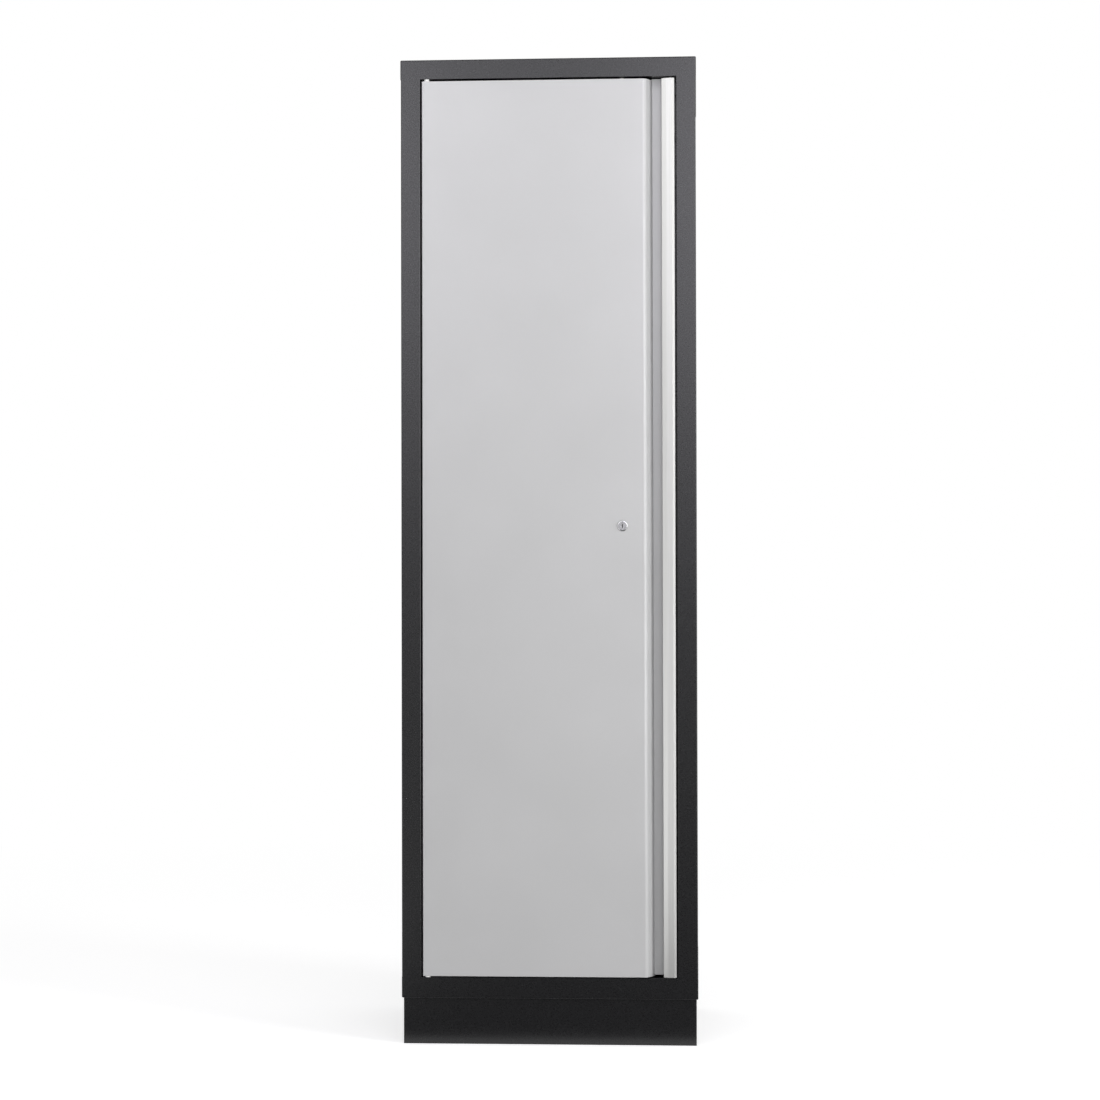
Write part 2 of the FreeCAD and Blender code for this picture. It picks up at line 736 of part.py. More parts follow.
def door_rail(label, bottom, hollow_bottom, web_bottom):
    """A channel across the end of the door, its web at the door's edge, with holes for pin and rod."""
    corner = (f"{DOOR_LEFT} + door_sheet", f"{FRONT} + door_sheet", bottom)
    run = f"({FACE_WIDTH} - door_sheet - door_rail_end)"
    depth = "(door_thickness - 2 * door_sheet)"
    solid = block(label + "_block", corner, (run, depth, "door_rail_height"))
    hollow = block(label + "_hollow", (f"{corner[0]} - overrun", f"{corner[1]} + door_sheet", hollow_bottom),
                   (f"{run} + 2 * overrun", f"{depth} - 2 * door_sheet",
                    "door_rail_height - door_sheet + overrun"))
    web_run = "door_sheet + 2 * overrun"
    pin = round_bar(label + "_pin_hole", (PIVOT_X, PIVOT_Y, f"{web_bottom} - overrun"),
                    "pin_radius + fastener_play", web_run)
    rod = round_bar(label + "_rod_hole", (LOCK_X, ROD_Y, f"{web_bottom} - overrun"),
                    "tip_radius + slide_play", web_run)
    return finished(cut(label, solid, [hollow, pin, rod]))


door_rail("door_rail_bottom", DOOR_BOTTOM, f"{DOOR_BOTTOM} + door_sheet", DOOR_BOTTOM)
door_rail("door_rail_top", f"{DOOR_TOP} - door_rail_height", f"{DOOR_TOP} - door_rail_height - overrun",
          f"{DOOR_TOP} - door_sheet")


def door_stiffener():
    """An upright hat section behind the middle of the face, between the two door rails."""
    thick = "door_sheet"
    foot, slope, crown = "stiffener_foot", "stiffener_slope", "stiffener_crown"
    rise = f"(stiffener_depth - {thick})"
    shift = f"({thick} * (sqrt({slope}^2 + {rise}^2) - {slope}) / {rise})"
    near = f"({foot} + {slope})"
    far = f"({near} + {crown})"
    end = f"({far} + {slope} + {foot})"
    outline = [
        ("0", "0"),
        (f"{foot} + {shift}", "0"),
        (f"{near} + {shift}", rise),
        (f"{far} - {shift}", rise),
        (f"{end} - {foot} - {shift}", "0"),
        (end, "0"),
        (end, thick),
        (f"{end} - {foot}", thick),
        (far, "stiffener_depth"),
        (near, "stiffener_depth"),
        (foot, thick),
        ("0", thick),
    ]
    left = f"{DOOR_LEFT} + ({FACE_WIDTH} - {end}) / 2"
    corner = (left, f"{FRONT} + door_sheet", f"{DOOR_BOTTOM} + door_rail_height")
    return finished(folded("door_stiffener", outline, f"{DOOR_HEIGHT} - 2 * door_rail_height", corner))


door_stiffener()


# Aluminium grip on the channel floor, and its rivets

def door_grip():
    """A J section: foot on the channel floor, leg at the door's edge, lip in two slants with a crease."""
    ridge = "(grip_width - grip_ridge)"
    inner_ridge = f"({ridge} - grip_wall)"
    second_slope = f"((grip_proud - grip_crease_proud) / ({ridge} - grip_crease_place))"
    inner_rise = f"(grip_crease_proud + {second_slope} * ({inner_ridge} - grip_crease_place))"
    outline = [
        ("0", "0"),
        ("grip_crease_place", "-grip_crease_proud"),
        (ridge, "-grip_proud"),
        ("grip_width", "grip_shoulder - grip_proud"),
        ("grip_width", "channel_depth"),
        ("grip_width - grip_foot", "channel_depth"),
        ("grip_width - grip_foot", "channel_depth - grip_wall"),
        ("grip_width - grip_wall", "channel_depth - grip_wall"),
        ("grip_width - grip_wall", "grip_shoulder + grip_wall - grip_proud"),
        (inner_ridge, f"grip_wall - {inner_rise}"),
        ("grip_crease_place", "grip_wall - grip_crease_proud"),
        ("0", "grip_wall"),
    ]
    corner = (f"{DOOR_LEFT} + {DOOR_WIDTH} - grip_width", FRONT, f"{DOOR_BOTTOM} + grip_end_gap")
    section = folded("door_grip_section", outline, f"{DOOR_HEIGHT} - 2 * grip_end_gap", corner)
    bend(section, "door_grip_bends", "grip_bend", [outline[0], outline[3], outline[-1]])
    foot_front = f"{FRONT} + channel_depth - grip_wall"
    finished(cut("door_grip", section, grip_rivet_holes("door_grip", foot_front, "grip_wall")))
    rivets = []
    for row, z in enumerate(grip_rivet_heights()):
        name = f"grip_rivet_{row}"
        head = round_bar(name + "_head", (GRIP_RIVET_X, f"{foot_front} - rivet_head", z), "rivet_head_radius",
                         "rivet_head", "y")
        shank = round_bar(name + "_shank", (GRIP_RIVET_X, f"{foot_front} - rivet_head", z), "rivet_radius",
                          "rivet_head + grip_wall + door_sheet", "y")
        rivets.append(together(name, [head, shank]))
    finished(group("grip_rivets", rivets))


door_grip()


# Pivots: a pin in a block at each end of the door, turning in a bush in the cap or the tray

def pivot(end, block_bottom, pin_bottom, flange_bottom, flange_height, bush_bottom):
    """The bush, pin and pin block at one end of the door."""
    corner = (f"{DOOR_LEFT} + door_sheet", f"{FRONT} + 2 * door_sheet", block_bottom)
    seat = block(f"pivot_block_{end}_block", corner, ("block_length", "block_depth", "pin_seat"))
    bore = round_bar(f"pivot_block_{end}_bore", (PIVOT_X, PIVOT_Y, f"{block_bottom} - overrun"),
                     "pin_radius + running_play", "pin_seat + 2 * overrun")
    finished(cut(f"pivot_block_{end}", seat, [bore]))
    gap = f"{end}_gap"
    pin_length = f"pin_seat + door_sheet + {gap} + pin_reach"
    finished(round_bar(f"pivot_pin_{end}", (PIVOT_X, PIVOT_Y, pin_bottom), "pin_radius", pin_length))
    flange = round_bar(f"hinge_bush_{end}_flange", (PIVOT_X, PIVOT_Y, flange_bottom), "bush_flange_radius",
                       flange_height)
    sleeve = round_bar(f"hinge_bush_{end}_sleeve", (PIVOT_X, PIVOT_Y, bush_bottom), "bush_radius",
                       f"bush_length + {flange_height}")
    inside = round_bar(f"hinge_bush_{end}_bore", (PIVOT_X, PIVOT_Y, f"{bush_bottom} - overrun"),
                       "pin_radius + running_play", f"bush_length + {flange_height} + 2 * overrun")
    whole = together(f"hinge_bush_{end}_solid", [flange, sleeve])
    finished(cut(f"hinge_bush_{end}", whole, [inside]))


TOP_FLANGE = "(top_gap - bush_play)"
BOTTOM_FLANGE = "(bottom_gap - bush_play)"
pivot("top", f"{DOOR_TOP} - door_sheet - pin_seat", f"{DOOR_TOP} - door_sheet - pin_seat",
      f"{CAP_BOTTOM} - {TOP_FLANGE}", TOP_FLANGE, f"{CAP_BOTTOM} - {TOP_FLANGE}")
pivot("bottom", f"{DOOR_BOTTOM} + door_sheet", f"{TRAY_TOP} - pin_reach", TRAY_TOP, BOTTOM_FLANGE,
      f"{TRAY_TOP} - bush_length")


# Lock: body and nut on the door, plug and cam that turn together

def along_lock(label, depth, radius, length):
    """A round shape on the lock's axis, starting at a depth behind the door's face."""
    return round_bar(label, (LOCK_X, f"{FRONT} + {depth}", "lock_height"), radius, length, "y")


def lock_body():
    """A bezel outside the door's face and a barrel through it, bored for the plug."""
    disc = along_lock("lock_body_disc", "0 - bezel_proud", "bezel_radius", "bezel_proud")
    bezel = softened("lock_body_bezel", disc, "bezel_round", [{"y": f"{FRONT} - bezel_proud"}])
    barrel = along_lock("lock_body_barrel", "0 - bezel_proud / 2", "barrel_radius",
                        "bezel_proud / 2 + barrel_length")
    bore = along_lock("lock_body_bore", "0 - bezel_proud - overrun", "plug_radius + running_play",
                      "bezel_proud + barrel_length + 2 * overrun")
    finished(cut("lock_body", together("lock_body_solid", [bezel, barrel]), [bore]))
    finished(hex_ring("lock_nut", (LOCK_X, f"{FRONT} + door_sheet", "lock_height"), "nut_flats",
                      "barrel_radius + fastener_play", "nut_thickness", "y"))


def lock_plug():
    """The turning plug with its upright key slot, and the screw hole at its rear end."""
    front = "(plug_sunk - bezel_proud)"
    run = f"(barrel_length + cam_gap - {front})"
    bar = along_lock("lock_plug_bar", front, "plug_radius", run)
    slot_middle = (LOCK_X, f"{FRONT} + {front} + (key_slot_depth - overrun) / 2", "lock_height")
    slot = centred_block("lock_plug_slot", slot_middle,
                         ("key_slot_width", "key_slot_depth + overrun", "key_slot_height"))
    hole = along_lock("lock_plug_hole", "barrel_length + cam_gap - cam_screw_length",
                      "cam_screw_radius + fastener_play", "cam_screw_length + overrun")
    finished(cut("lock_plug", bar, [slot, hole]))


def lock_cam():
    """A disc with two crank pins on opposite sides, held to the plug by a screw."""
    front = "barrel_length + cam_gap"
    disc = along_lock("lock_cam_disc", front, "cam_radius", "cam_thickness")
    pins = [
        round_bar(f"lock_cam_pin_{name}",
                  (f"{LOCK_X} + {side} * {CRANK_ARM}", f"{FRONT} + {front}",
                   f"lock_height - {side} * {CRANK_ARM}"),
                  "crank_pin_radius", "cam_thickness + crank_pin_length", "y")
        for name, side in (("upper", 1), ("lower", -1))
    ]
    hole = along_lock("lock_cam_hole", f"{front} - overrun", "cam_screw_radius + fastener_play",
                      "cam_thickness + 2 * overrun")
    finished(cut("lock_cam", together("lock_cam_solid", [disc] + pins), [hole]))
    shank = along_lock("lock_cam_screw_shank", f"{front} - cam_screw_length", "cam_screw_radius",
                       "cam_screw_length + cam_thickness + cam_screw_head")
    head = along_lock("lock_cam_screw_head", f"{front} + cam_thickness", "cam_screw_head_radius",
                      "cam_screw_head")
    finished(together("lock_cam_screw", [shank, head]))


lock_body()
lock_plug()
lock_cam()


# Lock rods: each has a slotted crank plate beside the lock's axis and a nylon tip at the door's edge

def lock_rod(name, side, rod_bottom, rod_length, tip_bottom, socket_bottom):
    """One rod and its tip. Side is 1 for the upper rod and -1 for the lower one."""
    def about_lock(label, across, up, extent):
        """A block at a place beside and above the lock, turned half round for the lower rod."""
        middle = (f"{LOCK_X} + {side} * ({across})", ROD_Y, f"lock_height + {side} * ({up})")
        return centred_block(label, middle, extent)

    slot_rise = "(2 * crank_pin_radius + 2 * crank_slot_play)"
    plate_low = f"(0 - {CRANK_ARM} - {slot_rise} / 2 - crank_plate_end)"
    plate_rise = f"(crank_plate_reach - {plate_low})"
    thick = "crank_plate_thickness"
    plate = about_lock(f"lock_rod_{name}_plate", "crank_plate_side + crank_plate_width / 2",
                       f"{plate_low} + {plate_rise} / 2", ("crank_plate_width", thick, plate_rise))
    bridge_rise = "(crank_plate_reach - rod_start)"
    bridge = about_lock(f"lock_rod_{name}_bridge", "(crank_plate_side + crank_plate_width / 2) / 2",
                        f"rod_start + {bridge_rise} / 2",
                        ("crank_plate_side + crank_plate_width / 2", thick, bridge_rise))
    bar = round_bar(f"lock_rod_{name}_bar", (LOCK_X, ROD_Y, rod_bottom), "rod_radius", rod_length)
    slot_run = f"(crank_radius - {CRANK_ARM} + {slot_rise})"
    slot = about_lock(f"lock_rod_{name}_slot", f"(crank_radius + {CRANK_ARM}) / 2", f"0 - {CRANK_ARM}",
                      (slot_run, f"{thick} + 2 * overrun", slot_rise))
    solid = together(f"lock_rod_{name}_solid", [plate, bridge, bar])
    finished(cut(f"lock_rod_{name}", solid, [slot]))
    stub = round_bar(f"rod_tip_{name}_stub", (LOCK_X, ROD_Y, tip_bottom), "tip_radius", "tip_length")
    round_end = f"{tip_bottom} + tip_length" if side > 0 else tip_bottom
    nose = softened(f"rod_tip_{name}_nose", stub, "tip_round", [{"z": round_end}])
    socket = round_bar(f"rod_tip_{name}_socket", (LOCK_X, ROD_Y, socket_bottom), "rod_radius + fastener_play",
                       "tip_socket + overrun")
    finished(cut(f"rod_tip_{name}", nose, [socket]))


LOWER_TIP = f"({DOOR_BOTTOM} - {TIP_SHARE} * bottom_gap)"
UPPER_SOCKET = f"({DOOR_TOP} + {TIP_SHARE} * top_gap - tip_length)"
LOWER_SOCKET = f"({LOWER_TIP} + tip_length)"
lock_rod("upper", 1, "(lock_height + rod_start)", f"{UPPER_SOCKET} + tip_socket - lock_height - rod_start",
         UPPER_SOCKET, f"{UPPER_SOCKET} - overrun")
lock_rod("lower", -1, f"({LOWER_SOCKET} - tip_socket)",
         f"lock_height - rod_start - {LOWER_SOCKET} + tip_socket",
         LOWER_TIP, f"{LOWER_SOCKET} - tip_socket")


def rod_guides():
    """Nylon blocks on the back of the door's face, bored for the rods."""
    guides = []
    depth = "(rod_depth + rod_radius + guide_wall - door_sheet)"
    for name, end in (("upper", DOOR_TOP), ("lower", DOOR_BOTTOM)):
        for index, share in enumerate(GUIDE_SHARES):
            label = f"rod_guide_{name}_{index}"
            bottom = f"(lock_height + {share} * ({end} - lock_height) - guide_height / 2)"
            corner = (f"{LOCK_X} - guide_width / 2", f"{FRONT} + door_sheet", bottom)
            solid = block(label + "_block", corner, ("guide_width", depth, "guide_height"))
            bore = round_bar(label + "_bore", (LOCK_X, ROD_Y, f"{bottom} - overrun"),
                             "rod_radius + slide_play", "guide_height + 2 * overrun")
            guides.append(cut(label, solid, [bore]))
    finished(group("rod_guides", guides))


rod_guides()


def door_buffers():
    """Rubber dots on the right stop flange, just behind the return at the door's right edge."""
    x = f"{DOOR_LEFT} + {DOOR_WIDTH} - door_sheet / 2"
    dots = [
        round_bar(f"door_buffer_{index}",
                  (x, f"{FRONT} + door_thickness + buffer_play", f"{DOOR_BOTTOM} + {share} * {DOOR_HEIGHT}"),
                  "buffer_radius", "stop_gap - buffer_play", "y")
        for index, share in enumerate(BUFFER_SHARES)
    ]
    finished(group("door_buffers", dots))


door_buffers()


# Every shape is tested, then each sub-part is written to its own file

doc.recompute()
failed = [thing.Label for thing in doc.Objects if {"Invalid", "Error"} & set(thing.State)]
failed += [piece.Label for piece in PARTS if piece.Shape.isNull() or not piece.Shape.isValid()]
if failed:
    raise RuntimeError("not built: " + ", ".join(failed))
os.makedirs("parts", exist_ok=True)
for piece in PARTS:
    piece.Shape.exportStep(os.path.join("parts", piece.Label + ".step"))
print(len(PARTS), "sub-parts written")
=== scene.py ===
# Looks of the tall cabinet: a finish for every node, a dark flap in the lock's keyway as painted shade, a
# white studio and the camera.
import bmesh
import bpy
import json
import math
from mathutils import Matrix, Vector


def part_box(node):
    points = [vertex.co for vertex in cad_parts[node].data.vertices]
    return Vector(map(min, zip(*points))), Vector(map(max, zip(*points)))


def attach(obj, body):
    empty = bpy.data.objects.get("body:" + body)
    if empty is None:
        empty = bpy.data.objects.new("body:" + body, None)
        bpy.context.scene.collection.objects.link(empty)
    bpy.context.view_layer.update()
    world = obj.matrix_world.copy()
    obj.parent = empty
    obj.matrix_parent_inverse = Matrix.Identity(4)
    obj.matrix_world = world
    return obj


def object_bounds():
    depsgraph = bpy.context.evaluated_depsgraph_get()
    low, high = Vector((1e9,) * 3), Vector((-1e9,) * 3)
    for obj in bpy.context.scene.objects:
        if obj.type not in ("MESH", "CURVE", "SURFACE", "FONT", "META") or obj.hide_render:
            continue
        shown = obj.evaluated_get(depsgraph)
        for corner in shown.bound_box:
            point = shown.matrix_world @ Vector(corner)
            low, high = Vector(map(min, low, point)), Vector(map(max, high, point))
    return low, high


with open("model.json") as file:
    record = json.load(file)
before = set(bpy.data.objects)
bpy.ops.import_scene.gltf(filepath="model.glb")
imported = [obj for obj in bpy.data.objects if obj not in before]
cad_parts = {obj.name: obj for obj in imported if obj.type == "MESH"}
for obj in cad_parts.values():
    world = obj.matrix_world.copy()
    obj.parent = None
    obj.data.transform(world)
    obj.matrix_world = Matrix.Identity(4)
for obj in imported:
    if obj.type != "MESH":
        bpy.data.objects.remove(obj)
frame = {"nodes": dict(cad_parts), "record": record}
cad_low, cad_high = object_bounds()

# Where the door's face lies and how high the cabinet is
FACE_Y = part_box("door_skin")[0][1]
HEIGHT = cad_high[2]

# Tints of the studio's light: plain white, and a white that leans to blue
PLAIN = (1.0, 1.0, 1.0)
COOL = (0.945, 0.93, 1.0)


# Helpers for shader nodes

def new_material(name):
    """A node material with its principled shader and its object coordinates."""
    material = bpy.data.materials.new(name)
    material.use_nodes = True
    tree = material.node_tree
    shader = tree.nodes["Principled BSDF"]
    place = tree.nodes.new("ShaderNodeTexCoord").outputs["Object"]
    return material, tree, shader, place


def stretched(tree, place, scale):
    """The coordinates, scaled by three numbers."""
    mapping = tree.nodes.new("ShaderNodeMapping")
    mapping.inputs["Scale"].default_value = scale
    tree.links.new(place, mapping.inputs["Vector"])
    return mapping.outputs["Vector"]


def noise(tree, place, scale, detail=2.0, roughness=0.5):
    """A noise pattern between 0 and 1, with its scale in cells per metre."""
    node = tree.nodes.new("ShaderNodeTexNoise")
    node.inputs["Scale"].default_value = scale
    node.inputs["Detail"].default_value = detail
    node.inputs["Roughness"].default_value = roughness
    tree.links.new(place, node.inputs["Vector"])
    return node.outputs["Fac"]


def cells(tree, place, scale):
    """A grey of its own for each cell of a cellular pattern."""
    node = tree.nodes.new("ShaderNodeTexVoronoi")
    node.inputs["Scale"].default_value = scale
    tree.links.new(place, node.inputs["Vector"])
    grey = tree.nodes.new("ShaderNodeSeparateColor")
    tree.links.new(node.outputs["Color"], grey.inputs["Color"])
    return grey.outputs["Red"]


def mixed(tree, first, second, share):
    """Two patterns mixed, with the second one's share."""
    node = tree.nodes.new("ShaderNodeMix")
    node.inputs[0].default_value = share
    tree.links.new(first, node.inputs[2])
    tree.links.new(second, node.inputs[3])
    return node.outputs[0]


def ranged(tree, source, low, high, start=0.3, end=0.7):
    """The part of a pattern from start to end, spread from low to high."""
    node = tree.nodes.new("ShaderNodeMapRange")
    node.inputs["From Min"].default_value = start
    node.inputs["From Max"].default_value = end
    node.inputs["To Min"].default_value = low
    node.inputs["To Max"].default_value = high
    tree.links.new(source, node.inputs["Value"])
    return node.outputs["Result"]


def between(tree, source, dark, light, start=0.3, end=0.7):
    """A colour that goes from dark to light as the pattern rises from start to end."""
    ramp = tree.nodes.new("ShaderNodeValToRGB")
    ramp.color_ramp.elements[0].position = start
    ramp.color_ramp.elements[0].color = (*dark, 1.0)
    ramp.color_ramp.elements[1].position = end
    ramp.color_ramp.elements[1].color = (*light, 1.0)
    tree.links.new(source, ramp.inputs["Fac"])
    return ramp.outputs["Color"]


def coated(tree, shader, colour, roughness, metallic=0.0):
    """Gives the shader its colour and roughness, and says how metallic it is."""
    tree.links.new(colour, shader.inputs["Base Color"])
    tree.links.new(roughness, shader.inputs["Roughness"])
    shader.inputs["Metallic"].default_value = metallic


def bumped(tree, shader, source, strength, distance, below=None):
    """Bump from a pattern, on top of another bump if one is given."""
    node = tree.nodes.new("ShaderNodeBump")
    node.inputs["Strength"].default_value = strength
    node.inputs["Distance"].default_value = distance
    tree.links.new(source, node.inputs["Height"])
    if below is not None:
        tree.links.new(below, node.inputs["Normal"])
    tree.links.new(node.outputs["Normal"], shader.inputs["Normal"])
    return node.outputs["Normal"]


# Finishes, each named as its slot in the record

def anthracite_paint():
    """Fine-textured dark powder coat."""
    material, tree, shader, place = new_material("anthracite_paint")
    grain = noise(tree, place, scale=1500.0, detail=3.0, roughness=0.6)
    mottle = noise(tree, place, scale=360.0)
    tone = mixed(tree, grain, mottle, share=0.5)
    colour = between(tree, tone, dark=(0.0066, 0.0066, 0.0072), light=(0.0094, 0.0094, 0.0102))
    coated(tree, shader, colour, ranged(tree, tone, low=0.24, high=0.33))
    bumped(tree, shader, tone, strength=0.2, distance=0.00008)
    return material


def light_grey_paint():
    """Smooth pale powder coat with a faint orange peel."""
    material, tree, shader, place = new_material("light_grey_paint")
    peel = noise(tree, place, scale=320.0)
    grain = noise(tree, place, scale=2200.0, roughness=0.6)
    cloud = noise(tree, place, scale=5.0)
    tone = mixed(tree, grain, cloud, share=0.5)
    colour = between(tree, tone, dark=(0.470, 0.470, 0.472), light=(0.500, 0.500, 0.503))
    coated(tree, shader, colour, ranged(tree, tone, low=0.20, high=0.27))
    soft = bumped(tree, shader, peel, strength=0.06, distance=0.0002)
    bumped(tree, shader, grain, strength=0.05, distance=0.00005, below=soft)
    return material


def aluminium():
    """Satin anodised extrusion with fine lines along its length."""
    material, tree, shader, place = new_material("aluminium")
    along = stretched(tree, place, scale=(1.0, 1.0, 0.004))
    lines = noise(tree, along, scale=1600.0, detail=3.0, roughness=0.6)
    satin = noise(tree, place, scale=2600.0)
    colour = between(tree, lines, dark=(0.49, 0.49, 0.48), light=(0.555, 0.555, 0.545))
    roughness = ranged(tree, mixed(tree, lines, satin, share=0.4), low=0.36, high=0.45)
    coated(tree, shader, colour, roughness, metallic=1.0)
    bumped(tree, shader, lines, strength=0.10, distance=0.00006)
    return material


def zinc_plated_steel():
    """Bright zinc with a faint spangle."""
    material, tree, shader, place = new_material("zinc_plated_steel")
    spangle = cells(tree, place, scale=110.0)
    fine = noise(tree, place, scale=700.0, detail=3.0, roughness=0.6)
    tone = mixed(tree, spangle, fine, share=0.5)
    colour = between(tree, tone, dark=(0.47, 0.48, 0.49), light=(0.60, 0.61, 0.62), start=0.25, end=0.75)
    roughness = ranged(tree, tone, low=0.30, high=0.46, start=0.25, end=0.75)
    coated(tree, shader, colour, roughness, metallic=1.0)
    bumped(tree, shader, fine, strength=0.08, distance=0.00008)
    return material


def chrome():
    """Chrome, a little dulled by handling marks."""
    material, tree, shader, place = new_material("chrome")
    along = stretched(tree, place, scale=(1.0, 1.0, 0.2))
    marks = noise(tree, along, scale=1800.0, detail=4.0, roughness=0.65)
    colour = between(tree, marks, dark=(0.48, 0.48, 0.485), light=(0.58, 0.58, 0.585))
    coated(tree, shader, colour, ranged(tree, marks, low=0.20, high=0.28), metallic=1.0)
    bumped(tree, shader, marks, strength=0.03, distance=0.00003)
    return material


def white_nylon():
    """Moulded white nylon."""
    material, tree, shader, place = new_material("white_nylon")
    skin = noise(tree, place, scale=900.0, detail=3.0)
    colour = between(tree, skin, dark=(0.74, 0.74, 0.72), light=(0.82, 0.82, 0.80))
    coated(tree, shader, colour, ranged(tree, skin, low=0.38, high=0.52))
    bumped(tree, shader, skin, strength=0.12, distance=0.00008)
    return material


def black_rubber():
    """Matte black rubber."""
    material, tree, shader, place = new_material("black_rubber")
    skin = noise(tree, place, scale=1300.0, detail=3.0)
    colour = between(tree, skin, dark=(0.014, 0.014, 0.014), light=(0.026, 0.026, 0.026))
    coated(tree, shader, colour, ranged(tree, skin, low=0.70, high=0.85))
    bumped(tree, shader, skin, strength=0.25, distance=0.0001)
    return material


finishes = {make.__name__: make() for make in (
    anthracite_paint, light_grey_paint, aluminium, zinc_plated_steel, chrome, white_nylon, black_rubber)}
for entry in frame["record"]["subparts"]:
    solid = frame["nodes"][entry["node"]]
    solid.data.materials.clear()
    solid.data.materials.append(finishes[entry["material_slot"]])


# A dark flap just inside the lock's keyway: painted shade that keeps the keyway dark

def keyway_shade_flap(width, height, thickness, sunk, bevel):
    """A dark flap with rounded edges that fills the keyway a little below the front of the plug, as painted
    shade in the keyway.
    """
    low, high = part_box("lock_plug")
    centre = ((low[0] + high[0]) / 2, low[1] + sunk + thickness / 2, (low[2] + high[2]) / 2)
    form = bmesh.new()
    size = Matrix.Diagonal((width, thickness, height, 1.0))
    bmesh.ops.create_cube(form, size=1.0, matrix=Matrix.Translation(centre) @ size)
    bmesh.ops.bevel(form, geom=form.edges[:], offset=bevel, segments=3, affect="EDGES", profile=0.5)
    mesh = bpy.data.meshes.new("keyway_shade_flap")
    form.to_mesh(mesh)
    form.free()
    # black rubber here stands in for the shade inside the keyway
    mesh.materials.append(finishes["black_rubber"])
    shade_flap = bpy.data.objects.new("keyway_shade_flap", mesh)
    bpy.context.collection.objects.link(shade_flap)
    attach(shade_flap, "lock_cylinder")


# painted shade: a dark flap in the keyway
keyway_shade_flap(width=0.0015, height=0.0073, thickness=0.0006, sunk=0.0003, bevel=0.00012)


# White studio: a floor that keeps the shadow, and a world that is white where it is seen

def seen(tree):
    """1 for rays that show the studio itself: camera, glossy and transmission rays."""
    path = tree.nodes.new("ShaderNodeLightPath")
    total = path.outputs["Is Camera Ray"]
    for name in ("Is Glossy Ray", "Is Transmission Ray"):
        larger = tree.nodes.new("ShaderNodeMath")
        larger.operation = "MAXIMUM"
        tree.links.new(total, larger.inputs[0])
        tree.links.new(path.outputs[name], larger.inputs[1])
        total = larger.outputs[0]
    return total


def studio_world(fill):
    """White where it is seen, and a soft even fill for the rest."""
    world = bpy.data.worlds.new("studio")
    bpy.context.scene.world = world
    world.use_nodes = True
    tree = world.node_tree
    tree.nodes.clear()
    shown = tree.nodes.new("ShaderNodeBackground")
    shown.inputs["Color"].default_value = (*PLAIN, 1.0)
    soft = tree.nodes.new("ShaderNodeBackground")
    soft.inputs["Color"].default_value = (*PLAIN, 1.0)
    soft.inputs["Strength"].default_value = fill
    mix = tree.nodes.new("ShaderNodeMixShader")
    tree.links.new(seen(tree), mix.inputs["Fac"])
    tree.links.new(soft.outputs[0], mix.inputs[1])
    tree.links.new(shown.outputs[0], mix.inputs[2])
    out = tree.nodes.new("ShaderNodeOutputWorld")
    tree.links.new(mix.outputs[0], out.inputs["Surface"])


def flat_card(name, corners):
    """A flat piece of the studio with an empty node material, and the material's tree."""
    mesh = bpy.data.meshes.new(name)
    mesh.from_pydata(corners, [], [tuple(range(len(corners)))])
    card = bpy.data.objects.new(name, mesh)
    bpy.context.collection.objects.link(card)
    material = bpy.data.materials.new(name)
    material.use_nodes = True
    material.node_tree.nodes.clear()
    mesh.materials.append(material)
    return card, material.node_tree


def studio_floor(half, drop, grey, lift, near, far):
    """A wide floor just under the plinth. It keeps the shadow near the cabinet and is plain white far off."""
    below = cad_low[2] - drop
    corners = [(-half, -half, below), (half, -half, below), (half, half, below), (-half, half, below)]
    tree = flat_card("studio_floor", corners)[1]
    matte = tree.nodes.new("ShaderNodeBsdfDiffuse")
    matte.inputs["Color"].default_value = (grey, grey, grey, 1.0)
    shown = seen(tree)
    glow = tree.nodes.new("ShaderNodeEmission")
    strength = tree.nodes.new("ShaderNodeMath")
    strength.operation = "MULTIPLY"
    strength.inputs[1].default_value = lift
    tree.links.new(shown, strength.inputs[0])
    tree.links.new(strength.outputs[0], glow.inputs["Strength"])
    both = tree.nodes.new("ShaderNodeAddShader")
    tree.links.new(matte.outputs[0], both.inputs[0])
    tree.links.new(glow.outputs[0], both.inputs[1])
    away = tree.nodes.new("ShaderNodeVectorMath")
    away.operation = "LENGTH"
    tree.links.new(tree.nodes.new("ShaderNodeTexCoord").outputs["Object"], away.inputs[0])
    fade = ranged(tree, away.outputs["Value"], low=0.0, high=1.0, start=near, end=far)
    share = tree.nodes.new("ShaderNodeMath")
    share.operation = "MULTIPLY"
    tree.links.new(shown, share.inputs[0])
    tree.links.new(fade, share.inputs[1])
    white = tree.nodes.new("ShaderNodeEmission")
    mix = tree.nodes.new("ShaderNodeMixShader")
    tree.links.new(share.outputs[0], mix.inputs["Fac"])
    tree.links.new(both.outputs[0], mix.inputs[1])
    tree.links.new(white.outputs[0], mix.inputs[2])
    out = tree.nodes.new("ShaderNodeOutputMaterial")
    tree.links.new(mix.outputs[0], out.inputs["Surface"])


